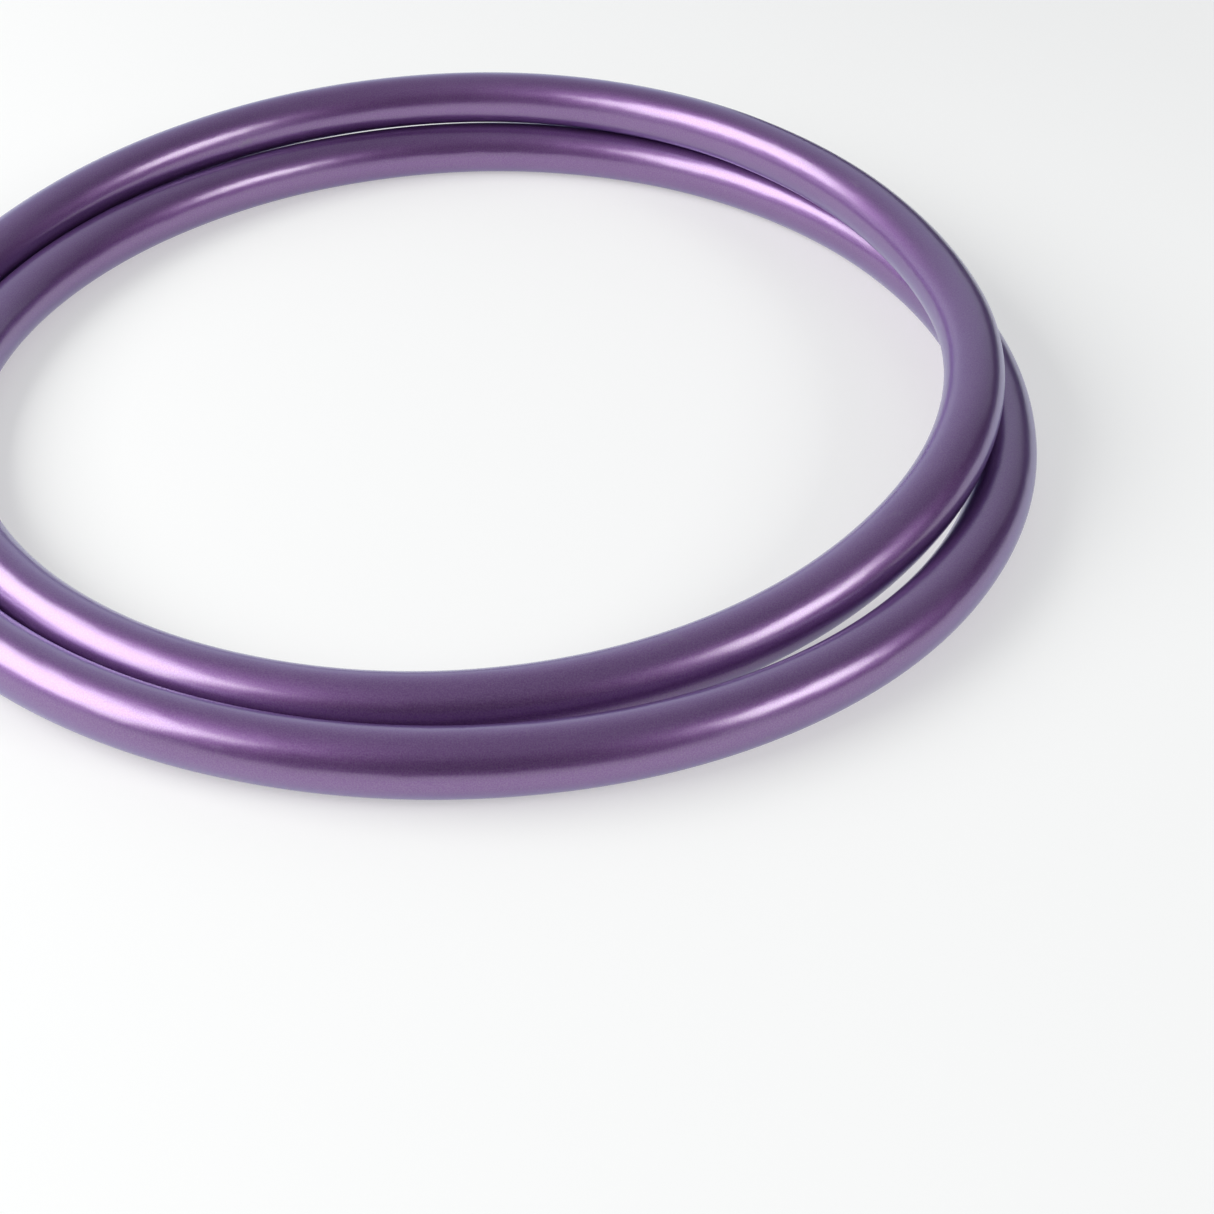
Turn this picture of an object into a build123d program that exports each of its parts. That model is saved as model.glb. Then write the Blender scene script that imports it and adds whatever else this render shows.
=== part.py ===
from build123d import *
import os
from math import cos, exp, pi, radians, sin, tan

# An endless round sling with a smooth polyurethane jacket, laid down doubled into two laps.
# Millimetres, +Z up. The origin is the middle of the sling's outline, on the surface it lies on.
# Angles are degrees in plan, anticlockwise from +X, so -90 is the front of the loop.

# ---- driving dimensions: the section ----
TUBE = 18.0            # outside diameter of the jacket
JACKET_WALL = 2.0
LINER_OUT = 13.7       # woven liner, across its corners
LINER_WALL = 0.6
STRAND = 3.6           # one core strand, across flats
STRAND_GAP = 0.1       # left between two strands
TIE_WALL = 0.3         # tape wound round the core
TIE_WIDTH = 5.0

# ---- driving dimensions: how the sling lies ----
LOOP_RADIUS = 171.0    # centreline of the outer lap, in plan
OVAL = 3.0             # how far the loop is from round: two bulges, then three
OVAL_AT = -79.7
BULGE = 2.0
BULGE_AT = -44.4
LAP_GAP = 0.5          # clear space between the two laps where they lie together
LAP_START = -124.0     # here both laps are flat, side by side, and the count of laps begins
CROSS_FROM = 60.0      # the lower lap moves from the outside to the inside over this stretch
CROSS_TO = 215.0
CLIMB_FROM = -66.0     # the inner lap climbs on to the outer one over this stretch
CLIMB_TO = 4.0
CLIMB_TURN = 62.0      # and goes this far round it, of the half turn that it makes in all
PARTING = 0.31         # the laps part by this share of their spacing, before the climb
PARTING_AT = -64.0
PARTING_SPREAD = 26.0
CENTRE = (2.66, -2.92)  # moves the outline to be centred on the origin

# ---- driving dimensions: the route's corners ----
CORNERS = 32           # over both laps
JOINT_AT = -170.0      # where the jacket's two ends are welded
JOINT_STEP = 26.0      # plan angle between the corners each side of the joint
OUTSET = 1.018         # corners stand out by this much, because the path rounds them off
ROUNDING = 0.45        # share of the shorter run that each bend takes from it

# ---- driving dimensions: the joint ----
INSERT_LENGTH = 16.0   # tube that backs the weld
INSERT_WALL = 0.8
INSERT_FIT = 0.05      # clearance round the insert
BUTT = 0.02            # gap between the two ends that meet at the joint
TIES = 8

JACKET_R = TUBE / 2
BORE_R = JACKET_R - JACKET_WALL
LANE = TUBE + LAP_GAP
PITCH = STRAND + STRAND_GAP


def ease(t):
    """0 to 1, level at both ends."""
    t = min(max(t, 0.0), 1.0)
    return t * t * (3 - 2 * t)


def lower_lap(at):
    """Radius and height of the lap that lies flat all the way round."""
    radius = LOOP_RADIUS
    radius += OVAL * cos(2 * radians(at - OVAL_AT))
    radius += BULGE * cos(3 * radians(at - BULGE_AT))
    radius -= LANE * ease((at - CROSS_FROM) / (CROSS_TO - CROSS_FROM))
    return radius, JACKET_R


def upper_lap(at):
    """Radius and height of the lap that starts inside the lower one, rides over it and ends outside."""
    radius, height = lower_lap(at)
    apart = LANE * (1 + PARTING * exp(-(((at - PARTING_AT) / PARTING_SPREAD) ** 2)))
    lean = 180 - CLIMB_TURN * ease((at - CLIMB_FROM) / (CLIMB_TO - CLIMB_FROM))
    lean -= (180 - CLIMB_TURN) * ease(at / CROSS_TO)
    return radius + apart * cos(radians(lean)), height + apart * sin(radians(lean))


def corner(at, outset):
    """A corner of the route, at any angle over the two laps."""
    at = (at - LAP_START) % 720 + LAP_START
    if at < LAP_START + 360:
        radius, height = lower_lap(at)
    else:
        at -= 360
        radius, height = upper_lap(at)
    x = outset * radius * cos(radians(at)) + CENTRE[0]
    y = outset * radius * sin(radians(at)) + CENTRE[1]
    return Vector(x, y, height)


def route():
    """The centreline's corners in order, from the joint, twice round and back to the joint."""
    step = (720 - JOINT_STEP) / (CORNERS - 1)
    # the longer run at the joint stands as far from the other lap as the rest do
    outsets = [OUTSET] * CORNERS
    outsets[0] = outsets[-1] = OUTSET * cos(radians(step / 2)) / cos(radians(JOINT_STEP / 2))
    first = JOINT_AT + JOINT_STEP / 2
    corners = [corner(first + step * k, outset) for k, outset in enumerate(outsets)]
    joint = (corners[0] + corners[-1]) / 2
    back = (corners[-1] - corners[0]).normalized() * BUTT
    return [joint, *corners, joint + back]


def bend_radii(points):
    """One radius for each corner, as large as its two runs allow."""
    runs = [b - a for a, b in zip(points, points[1:])]
    # the first and last runs are the halves of one, and there is no bend between them
    room = [2 * run.length if run in (runs[0], runs[-1]) else run.length for run in runs]
    half_turns = [radians(a.get_angle(b)) / 2 for a, b in zip(runs, runs[1:])]
    return [ROUNDING * min(a, b) / tan(turn) for a, b, turn in zip(room, room[1:], half_turns)]


def along(path, section):
    """A section swept from end to end of the path."""
    return sweep(Plane(origin=path @ 0, z_dir=path % 0) * section, path=path)


def ends(swept, path):
    """A sweep's two flat ends, with the one at the path's start first."""
    flat = swept.faces().filter_by(GeomType.PLANE)
    return [min(flat, key=lambda face: (face.center() - path @ t).length) for t in (0, 1)]


def sides(swept, path):
    """A sweep's faces without its two ends."""
    return swept.faces() - ShapeList(ends(swept, path))


def ring(outline, hole):
    """A flat face with a hole, from the ends of two sweeps."""
    return Face(outline.outer_wire(), [hole.outer_wire()])


def tube(path, outer, inner):
    """A hollow tube along the path: the skins of two sweeps, closed by a ring at each end."""
    big, small = along(path, outer), along(path, inner)
    rings = [ring(*pair) for pair in zip(ends(big, path), ends(small, path))]
    return Solid(Shell([*sides(big, path), *sides(small, path), *rings]))


def bar(plane, radius, hole, length):
    """A short straight ring, centred on a plane."""
    return extrude(plane * (Circle(radius) - Circle(hole)), amount=length / 2, both=True)


def outer_jacket(path, points, radii):
    """Extruded tube bent into the loop, with a pocket in each end for the insert."""
    inward = [path % 0, -(path % 1)]
    depth = INSERT_LENGTH / 2 + INSERT_FIT
    floors = [path @ t + way * depth for t, way in zip((0, 1), inward)]
    bore_path = FilletPolyline(floors[0], *points[1:-1], floors[1], radius=radii)
    skin, bore = along(path, Circle(JACKET_R)), along(bore_path, Circle(BORE_R))
    faces = [*sides(skin, path), *sides(bore, bore_path)]
    for t, way, skin_end, bore_end in zip((0, 1), inward, ends(skin, path), ends(bore, bore_path)):
        pocket = Line(path @ t, path @ t + way * depth)
        hole = along(pocket, Circle(BORE_R + INSERT_WALL))
        near, far = ends(hole, pocket)
        faces += [*sides(hole, pocket), ring(skin_end, near), ring(far, bore_end)]
    return Solid(Shell(faces))


def joint_insert(joint):
    """Thin tube inside the weld, which lines the two jacket ends up."""
    return bar(joint, BORE_R + INSERT_WALL - INSERT_FIT, BORE_R, INSERT_LENGTH)


def woven_liner(path):
    """Woven sleeve drawn tight over the core, so that it lies in flats from strand to strand."""
    outer = RegularPolygon(LINER_OUT / 2, 12)
    return tube(path, outer, RegularPolygon(LINER_OUT / 2 - LINER_WALL, 12))


def core_strands(path):
    """Seven bundles of yarn, six packed round one, pressed to hexagons. Each ends at the joint."""
    hexagon = RegularPolygon(STRAND / 2, 6, major_radius=False)
    places = [(0.0, 0.0)]
    places += [(PITCH * cos(radians(60 * k + 30)), PITCH * sin(radians(60 * k + 30))) for k in range(6)]
    return [along(path, Pos(x, y) * hexagon) for x, y in places]


def core_ties(path):
    """Rings of tape that keep the strands together, one on a straight of the path every few runs."""
    hole = PITCH + STRAND / 2 + 0.15
    straights = [edge for edge in path.edges() if edge.geom_type == GeomType.LINE]
    every = len(straights) // TIES
    chosen = straights[every // 2::every][:TIES]
    planes = [Plane(origin=edge @ 0.5, z_dir=edge % 0.5) for edge in chosen]
    return [bar(plane, hole + TIE_WALL, hole, TIE_WIDTH) for plane in planes]


def main():
    points = route()
    radii = bend_radii(points)
    path = FilletPolyline(*points, radius=radii)
    joint = Plane(origin=path @ 0, z_dir=path % 0)
    print("centreline", round(path.length, 1), "mm, bend radii", [round(r) for r in radii])
    nodes = {"outer_jacket": outer_jacket(path, points, radii)}
    nodes["joint_insert"] = joint_insert(joint)
    nodes["woven_liner"] = woven_liner(path)
    for k, strand in enumerate(core_strands(path), 1):
        nodes[f"core_strand_{k}"] = strand
    for k, tie in enumerate(core_ties(path), 1):
        nodes[f"core_tie_{k}"] = tie
    os.makedirs("parts", exist_ok=True)
    for name, solid in nodes.items():
        export_step(solid, f"parts/{name}.step")
    section = pi * (JACKET_R ** 2 - BORE_R ** 2)
    share = nodes["outer_jacket"].volume / (section * path.length)
    print("jacket volume over section times length", round(share, 4))
    box = nodes["outer_jacket"].bounding_box()
    print("outline", box.min, box.max)


main()
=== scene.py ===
import bmesh
import bpy
from math import atan2, cos, exp, pi, radians, sin
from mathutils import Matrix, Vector

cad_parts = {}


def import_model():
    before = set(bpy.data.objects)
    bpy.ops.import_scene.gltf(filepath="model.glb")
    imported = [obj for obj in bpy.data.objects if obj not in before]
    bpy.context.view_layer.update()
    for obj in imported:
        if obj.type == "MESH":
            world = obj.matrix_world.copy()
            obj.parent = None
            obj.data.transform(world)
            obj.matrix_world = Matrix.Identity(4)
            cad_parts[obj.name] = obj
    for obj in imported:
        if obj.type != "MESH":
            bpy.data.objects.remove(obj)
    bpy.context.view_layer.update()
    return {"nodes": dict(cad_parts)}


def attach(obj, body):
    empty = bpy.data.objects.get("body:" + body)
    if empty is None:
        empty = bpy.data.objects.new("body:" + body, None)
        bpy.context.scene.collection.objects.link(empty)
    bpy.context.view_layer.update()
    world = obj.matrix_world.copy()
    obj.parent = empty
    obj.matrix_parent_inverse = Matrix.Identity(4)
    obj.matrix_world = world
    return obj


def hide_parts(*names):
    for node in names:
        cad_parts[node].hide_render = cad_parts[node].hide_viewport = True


# An endless round sling, lying doubled into two laps on a pale table.
# Metres, +Z up, as in the frame.
# The route has the same formula and the same corners as the one that the solids are swept along.
# Angles are degrees in plan, anticlockwise from +X, so -90 is the front of the loop.

# ---- driving dimensions: the sling's route ----
TUBE = 0.018           # outside diameter of the jacket
LOOP_RADIUS = 0.171    # centreline of the outer lap, in plan
OVAL = 0.003           # how far the loop is from round: two bulges, then three
OVAL_AT = -79.7
BULGE = 0.002
BULGE_AT = -44.4
LAP_GAP = 0.0005       # clear space between the two laps where they lie together
LAP_START = -124.0     # here both laps are flat, side by side, and the count of laps begins
CROSS_FROM = 60.0      # the lower lap moves from the outside to the inside over this stretch
CROSS_TO = 215.0
CLIMB_FROM = -66.0     # the inner lap climbs on to the outer one over this stretch
CLIMB_TO = 4.0
CLIMB_TURN = 62.0      # and goes this far round it, of the half turn that it makes in all
PARTING = 0.31         # the laps part by this share of their spacing, before the climb
PARTING_AT = -64.0
PARTING_SPREAD = 26.0
CENTRE = (0.00266, -0.00292)  # moves the outline's middle to the origin
CORNERS = 32           # over both laps
JOINT_AT = -170.0      # where the jacket's two ends are welded
JOINT_STEP = 26.0      # plan angle between the corners each side of the joint
OUTSET = 1.018         # corners stand out by this much, because the path rounds them off
LANE = TUBE + LAP_GAP

# ---- driving dimensions: the jacket's mesh ----
JACKET_WALL = 0.002
STEPS_PER_CORNER = 18  # points of the centreline for each corner of the route
ROUND = 72             # points round the tube
WELD_WIDTH = 0.0009    # the flush weld where the two ends meet
WELD_DEPTH = 0.00012
SAME_PLACE = 1e-5      # two points nearer than this are one


def ease(t):
    """0 to 1, level at both ends."""
    t = min(max(t, 0.0), 1.0)
    return t * t * (3 - 2 * t)


def lower_lap(at):
    """Radius and height of the lap that lies flat all the way round."""
    radius = LOOP_RADIUS
    radius += OVAL * cos(2 * radians(at - OVAL_AT))
    radius += BULGE * cos(3 * radians(at - BULGE_AT))
    radius -= LANE * ease((at - CROSS_FROM) / (CROSS_TO - CROSS_FROM))
    return radius, TUBE / 2


def upper_lap(at):
    """Radius and height of the lap that starts inside the lower one and ends outside it."""
    radius, height = lower_lap(at)
    apart = LANE * (1 + PARTING * exp(-(((at - PARTING_AT) / PARTING_SPREAD) ** 2)))
    lean = 180 - CLIMB_TURN * ease((at - CLIMB_FROM) / (CLIMB_TO - CLIMB_FROM))
    lean -= (180 - CLIMB_TURN) * ease(at / CROSS_TO)
    return radius + apart * cos(radians(lean)), height + apart * sin(radians(lean))


def corner(at, outset):
    """A corner of the route, at any angle over the two laps."""
    at = (at - LAP_START) % 720 + LAP_START
    if at < LAP_START + 360:
        radius, height = lower_lap(at)
    else:
        at -= 360
        radius, height = upper_lap(at)
    x = outset * radius * cos(radians(at)) + CENTRE[0]
    y = outset * radius * sin(radians(at)) + CENTRE[1]
    return Vector((x, y, height))


def route():
    """The centreline's corners in order, from the joint, twice round and back to the joint."""
    step = (720 - JOINT_STEP) / (CORNERS - 1)
    # the longer run at the joint stands as far from the other lap as the rest do
    outsets = [OUTSET] * CORNERS
    outsets[0] = outsets[-1] = OUTSET * cos(radians(step / 2)) / cos(radians(JOINT_STEP / 2))
    first = JOINT_AT + JOINT_STEP / 2
    corners = [corner(first + step * k, outset) for k, outset in enumerate(outsets)]
    joint = (corners[0] + corners[-1]) / 2
    return [joint, *corners, joint]


def centreline(points):
    """Points read from the smooth spline that has the route's corners as its control points."""
    data = bpy.data.curves.new("route", "CURVE")
    data.dimensions = "3D"
    spline = data.splines.new("NURBS")
    spline.points.add(len(points) - 1)
    for knot, point in zip(spline.points, points):
        knot.co = (*point, 1.0)
    spline.order_u = 3
    spline.use_endpoint_u = True
    data.resolution_u = STEPS_PER_CORNER
    holder = bpy.data.objects.new("route", data)
    mesh = bpy.data.meshes.new_from_object(holder)
    line = [vertex.co.copy() for vertex in mesh.vertices]
    if (line[-1] - line[0]).length < SAME_PLACE:
        line.pop()
    bpy.data.objects.remove(holder)
    bpy.data.curves.remove(data)
    bpy.data.meshes.remove(mesh)
    return line


def frames(line):
    """Two directions across the closed line at each point, which turn as little as can be."""
    count = len(line)
    tangents = [(line[(k + 1) % count] - line[k - 1]).normalized() for k in range(count)]
    across = Vector((0, 0, 1)).cross(tangents[0]).normalized()
    pairs = []
    for k, tangent in enumerate(tangents):
        if k:
            across = tangents[k - 1].rotation_difference(tangent) @ across
        across = (across - tangent * across.dot(tangent)).normalized()
        pairs.append((across, tangent.cross(across)))
    last = tangents[-1].rotation_difference(tangents[0]) @ across
    slip = atan2(last.dot(pairs[0][1]), last.dot(pairs[0][0]))
    turned = []
    for k, (a, b) in enumerate(pairs):
        turn = -slip * k / count
        turned.append((a * cos(turn) + b * sin(turn), b * cos(turn) - a * sin(turn)))
    return turned


def ring_tube(mesh, line, pairs, radius_at, from_joint, flip=False):
    """A skin round the line. radius_at gives its radius at each of the line's points."""
    place = mesh.verts.layers.float_vector["on_tube"]
    rings = []
    for k, (point, (a, b)) in enumerate(zip(line, pairs)):
        radius = radius_at(k)
        ring = []
        for n in range(ROUND):
            angle = 2 * pi * n / ROUND
            vertex = mesh.verts.new(point + (a * cos(angle) + b * sin(angle)) * radius)
            vertex[place] = (radius * cos(angle), radius * sin(angle), from_joint[k])
            ring.append(vertex)
        rings.append(ring)
    for one, other in zip(rings, rings[1:] + rings[:1]):
        for n in range(ROUND):
            corners = (one[n - 1], one[n], other[n], other[n - 1])
            face = mesh.faces.new(corners[::-1] if flip else corners)
            face.smooth = True


def jacket(line):
    """The jacket's two skins, the outer one with its weld line, and the length once round."""
    count = len(line)
    along = [0.0]
    for a, b in zip(line, line[1:]):
        along.append(along[-1] + (b - a).length)
    whole = along[-1] + (line[0] - line[-1]).length
    from_joint = [min(s, whole - s) for s in along]

    def skin(k):
        return TUBE / 2 - WELD_DEPTH * exp(-((from_joint[k] / WELD_WIDTH) ** 2))

    mesh = bmesh.new()
    mesh.verts.layers.float_vector.new("on_tube")
    pairs = frames(line)
    ring_tube(mesh, line, pairs, skin, from_joint)
    ring_tube(mesh, line, pairs, lambda k: TUBE / 2 - JACKET_WALL, from_joint, flip=True)
    data = bpy.data.meshes.new("jacket_tube")
    mesh.to_mesh(data)
    mesh.free()
    piece = bpy.data.objects.new("jacket_tube", data)
    bpy.context.collection.objects.link(piece)
    return piece, whole


# ---- the jacket's finish ----
VIOLET_DEEP = (0.176, 0.062, 0.262)
VIOLET_PALE = (0.194, 0.074, 0.282)
VIOLET_SPARK = (0.32, 0.20, 0.38)
VIOLET_RUBBED = (0.26, 0.20, 0.31)
PEARL = 0.86           # how much the pigment shines like metal
PEARL_EDGE = (0.34, 0.52, 0.92, 1)  # its tint where the surface turns away
SATIN = 0.43           # roughness under the clear outer skin
SKIN_ROUGHNESS = 0.23
SKIN_IOR = 1.9
GRAIN_SCALE = 2600     # scales of the noises, from the finest to the broadest
LINE_SCALE = 900
WAVE_SCALE = 190
RUBBED_SCALE = 170
CLOUD_SCALE = 28
WAVE_DEPTH = 0.00014
GRAIN_DEPTH = 0.00002

# ---- the inner pieces' finishes ----
LINER = (0.17, 0.085, 0.24)
LINER_FADED = (0.22, 0.12, 0.30)
# painted shade: the colour laid into the braid's gaps, between the yarns
LINER_PAINTED_SHADE = (0.05, 0.025, 0.08)
# painted highlight: a lighter colour on the raised fibres
LINER_PAINTED_HIGHLIGHT = (0.42, 0.30, 0.50)
BRAID_PITCH = 0.0011
BRAID_DEPTH = 0.00022
YARN = (0.80, 0.78, 0.71)
YARN_AGED = (0.74, 0.70, 0.60)
# painted shade: the colour laid between the yarn's bundles
YARN_PAINTED_SHADE_BETWEEN = (0.42, 0.39, 0.33)
# painted shade: the colour laid between the fine filaments
YARN_PAINTED_SHADE_FILAMENTS = (0.50, 0.47, 0.40)
YARN_WAVES = 210.0     # radians of the slow wave for each metre
YARN_SWAY = 0.0003
YARN_DEPTH = 0.00018
TAPE = (0.73, 0.66, 0.51)
TAPE_STAINED = (0.64, 0.56, 0.41)
# painted shade: the colour laid into the gaps of the weave
TAPE_PAINTED_SHADE = (0.42, 0.35, 0.24)
TAPE_CREASE = (0.82, 0.78, 0.68)
TAPE_PITCH = 0.00042
TAPE_DEPTH = 0.00006
NYLON = (0.76, 0.74, 0.67)
NYLON_LINE = (0.70, 0.68, 0.60)
NYLON_SCUFF = (0.84, 0.83, 0.79)
NYLON_DEPTH = 0.00002


def new_material(name):
    """A material with its nodes, its links and its shader."""
    material = bpy.data.materials.new(name)
    material.use_nodes = True
    nodes, links = material.node_tree.nodes, material.node_tree.links
    return material, nodes, links, nodes["Principled BSDF"]


def number(nodes, kind, a, b=None, c=None):
    """A Math node on one to three values. A value is a socket or a constant."""
    node = nodes.new("ShaderNodeMath")
    node.operation = kind
    for socket, value in zip(node.inputs, (a, b, c)):
        if isinstance(value, bpy.types.NodeSocket):
            node.id_data.links.new(value, socket)
        elif value is not None:
            socket.default_value = value
    return node.outputs[0]


def spread(nodes, value, low, high, to_low, to_high):
    """A value mapped from one range to another, and held inside it."""
    node = nodes.new("ShaderNodeMapRange")
    node.id_data.links.new(value, node.inputs["Value"])
    limits = {"From Min": low, "From Max": high, "To Min": to_low, "To Max": to_high}
    for name, limit in limits.items():
        node.inputs[name].default_value = limit
    return node.outputs["Result"]


def stretched(nodes, vector, scale):
    """The vector with each of its parts scaled."""
    node = nodes.new("ShaderNodeVectorMath")
    node.operation = "MULTIPLY"
    node.id_data.links.new(vector, node.inputs[0])
    node.inputs[1].default_value = scale
    return node.outputs[0]


def noise(nodes, vector, scale, detail=2.0, roughness=0.5):
    node = nodes.new("ShaderNodeTexNoise")
    node.inputs["Scale"].default_value = scale
    node.inputs["Detail"].default_value = detail
    node.inputs["Roughness"].default_value = roughness
    node.id_data.links.new(vector, node.inputs["Vector"])
    return node.outputs["Fac"]


def blend(nodes, share, one, other):
    """One colour to another. Each is a socket or a constant."""
    node = nodes.new("ShaderNodeMix")
    node.data_type = "RGBA"
    node.id_data.links.new(share, node.inputs["Factor"])
    for socket, colour in ((node.inputs[6], one), (node.inputs[7], other)):
        if isinstance(colour, bpy.types.NodeSocket):
            node.id_data.links.new(colour, socket)
        else:
            socket.default_value = (*colour, 1)
    return node.outputs[2]


def patches(nodes, value, one, other):
    """Soft patches of two colours, from a noise."""
    return blend(nodes, spread(nodes, value, 0.35, 0.65, 0.0, 1.0), one, other)


def uneven_gloss(nodes, shader, value, low, high):
    """A roughness that goes from low to high with a noise."""
    node = spread(nodes, value, 0.3, 0.7, low, high)
    nodes.id_data.links.new(node, shader.inputs["Roughness"])


def relief(nodes, shader, height, depth, below=None):
    """Bump from a height of 0 to 1, that is depth metres deep, over another bump or none."""
    node = nodes.new("ShaderNodeBump")
    node.inputs["Distance"].default_value = depth
    node.id_data.links.new(height, node.inputs["Height"])
    if below:
        node.id_data.links.new(below, node.inputs["Normal"])
    node.id_data.links.new(node.outputs["Normal"], shader.inputs["Normal"])
    return node.outputs["Normal"]


def jacket_material():
    """Satin violet polyurethane with pearl pigment: grain, faint draw lines and rubbed places."""
    material, nodes, links, shader = new_material("pearl_violet_polyurethane")
    space = nodes.new("ShaderNodeTexCoord").outputs["Object"]
    tube = nodes.new("ShaderNodeAttribute")
    tube.attribute_name = "on_tube"

    def lengthwise(stretch):
        return stretched(nodes, tube.outputs["Vector"], (1.0, 1.0, stretch))

    grain = noise(nodes, space, GRAIN_SCALE, 2.0, 0.6)
    lines = noise(nodes, lengthwise(0.02), LINE_SCALE, 2.0)
    clouds = noise(nodes, space, CLOUD_SCALE, 3.0)
    rubbed = noise(nodes, lengthwise(0.35), RUBBED_SCALE, 4.0, 0.62)
    rubbed = spread(nodes, rubbed, 0.66, 0.74, 0.0, 1.0)
    waves = noise(nodes, lengthwise(0.4), WAVE_SCALE, 1.5)

    colour = patches(nodes, clouds, VIOLET_DEEP, VIOLET_PALE)
    colour = blend(nodes, spread(nodes, grain, 0.35, 0.7, 0.0, 0.4), colour, VIOLET_SPARK)
    colour = blend(nodes, number(nodes, "MULTIPLY", rubbed, 0.35), colour, VIOLET_RUBBED)
    links.new(colour, shader.inputs["Base Color"])
    dull = number(nodes, "MULTIPLY_ADD", spread(nodes, grain, 0.3, 0.7, -1.0, 1.0), 0.07, SATIN)
    dull = number(nodes, "MULTIPLY_ADD", spread(nodes, clouds, 0.3, 0.7, -1.0, 1.0), 0.02, dull)
    dull = number(nodes, "MULTIPLY_ADD", rubbed, 0.12, dull)
    links.new(dull, shader.inputs["Roughness"])
    shader.inputs["Metallic"].default_value = PEARL
    shader.inputs["Specular Tint"].default_value = PEARL_EDGE
    shader.inputs["Coat Weight"].default_value = 1.0
    shader.inputs["Coat Roughness"].default_value = SKIN_ROUGHNESS
    shader.inputs["Coat IOR"].default_value = SKIN_IOR
    surface = number(nodes, "MULTIPLY_ADD", lines, 0.45, number(nodes, "MULTIPLY", grain, 0.55))
    uneven = relief(nodes, shader, waves, WAVE_DEPTH)
    links.new(relief(nodes, shader, surface, GRAIN_DEPTH, uneven), shader.inputs["Coat Normal"])
    return material


def on_ring(nodes):
    """Where a point of an inner piece lies: how far round the loop, from its middle, and up."""
    place = nodes.new("ShaderNodeSeparateXYZ")
    nodes.id_data.links.new(nodes.new("ShaderNodeTexCoord").outputs["Object"], place.inputs[0])
    x, y, z = place.outputs
    squares = number(nodes, "ADD", number(nodes, "POWER", x, 2), number(nodes, "POWER", y, 2))
    out = number(nodes, "SQRT", squares)
    along = number(nodes, "MULTIPLY", number(nodes, "ARCTAN2", y, x), LOOP_RADIUS)
    return along, out, z


def vector(nodes, x, y, z):
    node = nodes.new("ShaderNodeCombineXYZ")
    for socket, value in zip(node.inputs, (x, y, z)):
        nodes.id_data.links.new(value, socket)
    return node.outputs[0]


def swell(nodes, value, pitch):
    """A wave whose every half is one yarn wide."""
    return number(nodes, "SINE", number(nodes, "MULTIPLY", value, pi / pitch))


def weave(nodes, one, other, pitch):
    """Height of a plain weave: yarns along two directions that pass over and under each other."""
    warp, weft = swell(nodes, one, pitch), swell(nodes, other, pitch)
    share = spread(nodes, number(nodes, "MULTIPLY", warp, weft), -0.15, 0.15, 0.0, 1.0)
    lift = number(nodes, "MULTIPLY", number(nodes, "ABSOLUTE", warp), share)
    rest = number(nodes, "SUBTRACT", 1.0, share)
    return number(nodes, "MULTIPLY_ADD", number(nodes, "ABSOLUTE", weft), rest, lift)


def liner_material():
    """Braided polyester sleeve: yarns wound both ways round, at 45 degrees to its length, with
    painted shade in the gaps between the yarns and painted highlights on its fibres.
    """
    material, nodes, links, shader = new_material("braided_violet_polyester")
    along, out, up = on_ring(nodes)
    around = number(nodes, "ADD", out, up)
    lean = number(nodes, "ADD", along, around)
    other = number(nodes, "SUBTRACT", along, around)
    height = weave(nodes, lean, other, BRAID_PITCH)
    fibres_and_highlights = noise(nodes, vector(nodes, lean, other, up), 5200, 2.0)
    faded = noise(nodes, vector(nodes, along, out, up), 35, 3.0)
    colour = patches(nodes, faded, LINER, LINER_FADED)
    # painted shade: the braid's low places, between the yarns, are darkened
    colour = blend(nodes, spread(nodes, height, 0.0, 0.45, 0.75, 0.0), colour, LINER_PAINTED_SHADE)
    # painted highlight: the fibres are lightened in flecks
    colour = blend(nodes, spread(nodes, fibres_and_highlights, 0.45, 0.8, 0.0, 0.5), colour, LINER_PAINTED_HIGHLIGHT)
    links.new(colour, shader.inputs["Base Color"])
    uneven_gloss(nodes, shader, fibres_and_highlights, 0.68, 0.86)
    shader.inputs["Sheen Weight"].default_value = 0.25
    shader.inputs["Sheen Roughness"].default_value = 0.4
    relief(nodes, shader, number(nodes, "MULTIPLY_ADD", fibres_and_highlights, 0.15, height), BRAID_DEPTH)
    return material


def yarn_material(name, shade, shift):
    """A strand of loose polyester filament, laid lengthwise with a slow wave of its own, darkened
    by painted shade between its bundles and between its filaments.
    """
    material, nodes, links, shader = new_material(name)
    along, out, up = on_ring(nodes)
    wave = number(nodes, "SINE", number(nodes, "MULTIPLY_ADD", along, YARN_WAVES, shift))
    out = number(nodes, "MULTIPLY_ADD", wave, YARN_SWAY, out)
    drawn = vector(nodes, number(nodes, "MULTIPLY", along, 0.03), out, up)
    fine = noise(nodes, drawn, 5200, 3.0, 0.6)
    bundles = noise(nodes, drawn, 1500, 1.0)
    aged = noise(nodes, vector(nodes, along, out, up), 22, 2.0)
    colour = patches(nodes, aged, tuple(shade * part for part in YARN), YARN_AGED)
    # painted shade: darker between the bundles, where they dip
    colour = blend(nodes, spread(nodes, bundles, 0.3, 0.5, 0.55, 0.0), colour, YARN_PAINTED_SHADE_BETWEEN)
    # painted shade: darker in the low places between the filaments
    colour = blend(nodes, spread(nodes, fine, 0.35, 0.55, 0.35, 0.0), colour, YARN_PAINTED_SHADE_FILAMENTS)
    links.new(colour, shader.inputs["Base Color"])
    uneven_gloss(nodes, shader, fine, 0.42, 0.62)
    shader.inputs["Sheen Weight"].default_value = 0.15
    relief(nodes, shader, number(nodes, "MULTIPLY_ADD", fine, 0.4, bundles), YARN_DEPTH)
    return material


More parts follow.
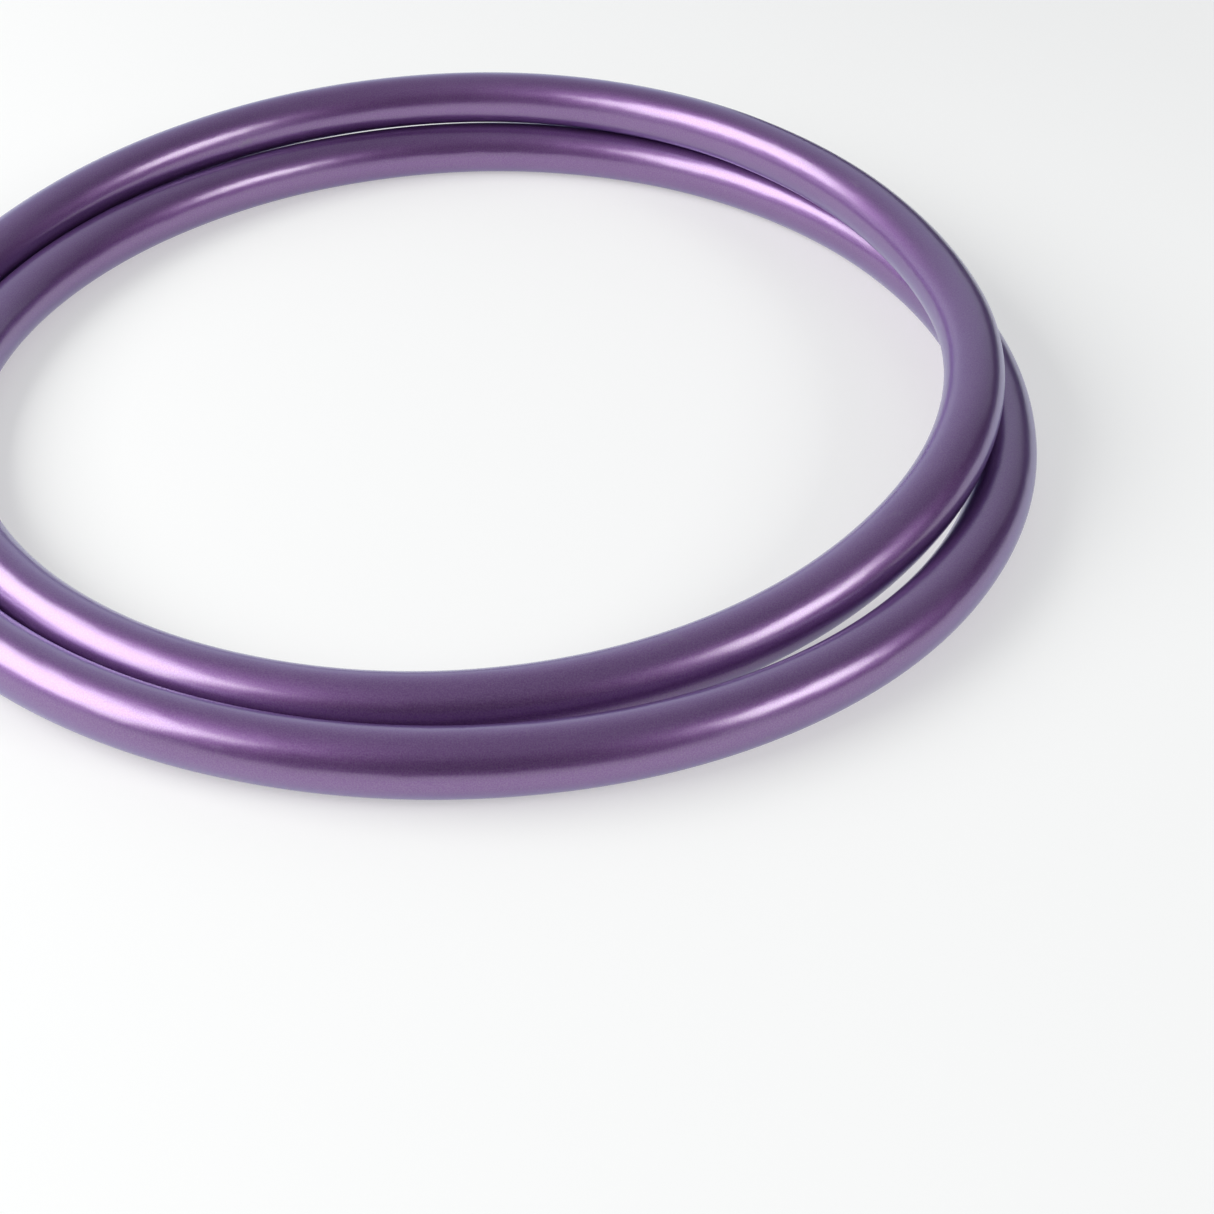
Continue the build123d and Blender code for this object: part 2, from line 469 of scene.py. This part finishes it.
def tape_material():
    """Cotton cloth tape: a fine plain weave under a thin, slightly shiny coating, with creases and
    painted shade in the weave's gaps.
    """
    material, nodes, links, shader = new_material("cloth_tape")
    along, out, up = on_ring(nodes)
    height = weave(nodes, along, number(nodes, "ADD", out, up), TAPE_PITCH)
    creases = noise(nodes, vector(nodes, along, out, up), 420, 4.0, 0.6)
    stain = noise(nodes, vector(nodes, along, out, up), 120, 3.0)
    colour = patches(nodes, stain, TAPE, TAPE_STAINED)
    # painted shade: the weave's low places are darkened
    colour = blend(nodes, spread(nodes, height, 0.0, 0.4, 0.45, 0.0), colour, TAPE_PAINTED_SHADE)
    colour = blend(nodes, spread(nodes, creases, 0.6, 0.75, 0.0, 0.35), colour, TAPE_CREASE)
    links.new(colour, shader.inputs["Base Color"])
    uneven_gloss(nodes, shader, creases, 0.45, 0.65)
    relief(nodes, shader, number(nodes, "MULTIPLY_ADD", creases, 1.5, height), TAPE_DEPTH)
    return material


def insert_material():
    """Natural nylon tube, with the extruder's fine lines along it and a few scuffs."""
    material, nodes, links, shader = new_material("natural_nylon")
    along, out, up = on_ring(nodes)
    drawn = vector(nodes, number(nodes, "MULTIPLY", along, 0.04), out, up)
    lines = noise(nodes, drawn, 2400, 2.0)
    scuffs = noise(nodes, vector(nodes, along, out, up), 520, 4.0, 0.62)
    colour = blend(nodes, spread(nodes, lines, 0.3, 0.7, 0.0, 1.0), NYLON, NYLON_LINE)
    colour = blend(nodes, spread(nodes, scuffs, 0.62, 0.72, 0.0, 0.5), colour, NYLON_SCUFF)
    links.new(colour, shader.inputs["Base Color"])
    uneven_gloss(nodes, shader, scuffs, 0.34, 0.56)
    shader.inputs["Subsurface Weight"].default_value = 0.15
    shader.inputs["Subsurface Scale"].default_value = 0.002
    relief(nodes, shader, number(nodes, "MULTIPLY_ADD", scuffs, 0.5, lines), NYLON_DEPTH)
    return material


def dress_inner_pieces(pieces):
    """A finish for each solid that stays as it is, inside the jacket."""
    tape = tape_material()
    finishes = {"joint_insert": insert_material(), "woven_liner": liner_material()}
    for name, solid in pieces.items():
        if name == "outer_jacket":
            continue
        finish = finishes.get(name, tape)
        if name.startswith("core_strand_"):
            n = int(name.rsplit("_", 1)[1])
            finish = yarn_material(f"polyester_yarn_{n}", 0.93 + 0.01 * n, 0.9 * n)
        solid.data.materials.clear()
        solid.data.materials.append(finish)


# ---- surroundings ----
TABLE = (0.927, 0.937, 0.945, 1)
TABLE_SEEN = (1.0, 0.99, 0.985, 1)
TABLE_SIZE = 60
TABLE_PLAIN = 0.4      # share of the table that is seen without its light and shade, up to
TABLE_NEAR = 0.4       # this far from the middle, and all of it from
TABLE_FAR = 1.8        # this far on
CARDS = (
    ("card_in_front", -90, 1.3, 2.3, 1.2),
    ("card_at_right", 0, 2.2, 2.8, 1.2),
    ("card_at_back_right", 46, 0.6, 0.7, 0.17),
)
CARD_BLACK = (0.02, 0.02, 0.02, 1)
LAMP = (1.0, 0.99, 0.955)
PANELS = (
    ("left", 187, 36, 1.5, 25.5, (1.67, 0.92)),
    ("right", -26, 30, 1.8, 9.6, (0.8, 0.58)),
)
ROOM = (0.90, 0.955, 1.0, 1)
ROOM_LEVEL = 0.03      # strengths of the room's light: all round,
ROOM_OVERHEAD = 0.26   # overhead,
ROOM_BEYOND = 0.8      # beyond the loop,
ROOM_IN_FRONT = 1.0    # and in front of it, where no gloss shows it
ROOM_BAND = 0.65       # strength of the band at the horizon, in the room as it is seen
BAND_FROM = 0.12       # sine of the height at which the band starts to fade
BAND_TO = 0.34
ROOM_LIMIT = 0.95      # greatest strength of the room as it is seen
EYE = (0.0498, -0.547, 0.3429)
LOOKS_DOWN = 37.59
LENS = 60.97


def seen(nodes):
    """1 for what is seen, directly or in a gloss, and 0 for light on its way to a surface."""
    rays = nodes.new("ShaderNodeLightPath").outputs
    mirrored = number(nodes, "ADD", rays["Is Glossy Ray"], rays["Is Transmission Ray"])
    return number(nodes, "MINIMUM", number(nodes, "ADD", rays["Is Camera Ray"], mirrored), 1.0)


def table_material():
    """White card. Near the loop it is seen part lit and part plain, and further out it is plain."""
    material, nodes, links, shader = new_material("white_table")
    shader.inputs["Base Color"].default_value = TABLE
    shader.inputs["Roughness"].default_value = 0.6
    plain = nodes.new("ShaderNodeEmission")
    plain.inputs["Color"].default_value = TABLE_SEEN
    away = nodes.new("ShaderNodeVectorMath")
    away.operation = "LENGTH"
    links.new(nodes.new("ShaderNodeTexCoord").outputs["Object"], away.inputs[0])
    share = spread(nodes, away.outputs["Value"], TABLE_NEAR, TABLE_FAR, TABLE_PLAIN, 1.0)
    either = nodes.new("ShaderNodeMixShader")
    links.new(number(nodes, "MULTIPLY", seen(nodes), share), either.inputs[0])
    links.new(shader.outputs[0], either.inputs[1])
    links.new(plain.outputs[0], either.inputs[2])
    links.new(either.outputs[0], nodes["Material Output"].inputs["Surface"])
    return material


def floor():
    """The table's top."""
    bpy.ops.mesh.primitive_plane_add(size=TABLE_SIZE, location=(0, 0, 0))
    plane = bpy.context.object
    plane.name = "table"
    plane.data.materials.append(table_material())


def dark_card(name, towards, away, width, height):
    """A black card on the table, which keeps one side of the gloss dark. Nothing else sees it."""
    turn = radians(towards)
    place = (away * cos(turn), away * sin(turn), height / 2)
    bpy.ops.mesh.primitive_plane_add(size=1, location=place, rotation=(pi / 2, 0, turn + pi / 2))
    card = bpy.context.object
    card.name = name
    card.scale = (width, height, 1)
    card.visible_camera = False
    card.visible_diffuse = False
    card.visible_shadow = False
    material, _, _, shader = new_material(name + "_black")
    shader.inputs["Base Color"].default_value = CARD_BLACK
    shader.inputs["Roughness"].default_value = 0.9
    card.data.materials.append(material)


def panel(name, towards, height, away, power, size):
    """A soft box, at these angles from the loop's middle, in degrees, and this far away."""
    data = bpy.data.lights.new(name, "AREA")
    data.shape = "RECTANGLE"
    data.size, data.size_y = size
    data.energy = power
    data.color = LAMP
    lamp = bpy.data.objects.new(name, data)
    bpy.context.collection.objects.link(lamp)
    turn, flat = radians(towards), away * cos(radians(height))
    place = Vector((flat * cos(turn), flat * sin(turn), away * sin(radians(height))))
    lamp.location = place
    lamp.rotation_euler = (-place).to_track_quat("-Z", "Y").to_euler()


def world():
    """The room: dim all round, lighter overhead and beyond the loop, and lit from the front."""
    room = bpy.data.worlds.new("studio")
    room.use_nodes = True
    nodes, links = room.node_tree.nodes, room.node_tree.links
    ways = nodes.new("ShaderNodeSeparateXYZ")
    links.new(nodes.new("ShaderNodeTexCoord").outputs["Generated"], ways.inputs[0])

    def towards(way, power):
        return number(nodes, "POWER", number(nodes, "MAXIMUM", way, 0.0), power)

    up, back = ways.outputs["Z"], ways.outputs["Y"]
    front = number(nodes, "MULTIPLY", back, -1.0)
    light = number(nodes, "MULTIPLY_ADD", towards(up, 3.0), ROOM_OVERHEAD, ROOM_LEVEL)
    light = number(nodes, "MULTIPLY_ADD", towards(back, 2.0), ROOM_BEYOND, light)
    band = spread(nodes, up, BAND_FROM, BAND_TO, ROOM_BAND, 0.0)
    seen_light = number(nodes, "MINIMUM", number(nodes, "ADD", light, band), ROOM_LIMIT)
    either = nodes.new("ShaderNodeMix")
    links.new(seen(nodes), either.inputs["Factor"])
    lit = number(nodes, "MULTIPLY_ADD", towards(front, 2.0), ROOM_IN_FRONT, light)
    links.new(lit, either.inputs[2])
    links.new(seen_light, either.inputs[3])
    links.new(either.outputs[0], nodes["Background"].inputs["Strength"])
    nodes["Background"].inputs["Color"].default_value = ROOM
    bpy.context.scene.world = room


def camera():
    """The camera, in front of the loop and above it."""
    data = bpy.data.cameras.new("camera")
    data.sensor_width = 36
    data.lens = LENS
    data.clip_start = 0.01
    eye = bpy.data.objects.new("camera", data)
    bpy.context.collection.objects.link(eye)
    eye.location = EYE
    eye.rotation_euler = (radians(90 - LOOKS_DOWN), 0, 0)
    bpy.context.scene.camera = eye


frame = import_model()

points = route()
line = centreline(points)
piece, length = jacket(line)
piece.data.materials.append(jacket_material())
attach(piece, "root")
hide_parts("outer_jacket")

dress_inner_pieces(frame["nodes"])

floor()
for card in CARDS:
    dark_card(*card)
world()
for soft_box in PANELS:
    panel(*soft_box)
camera()
bpy.context.scene.view_settings.view_transform = "Standard"
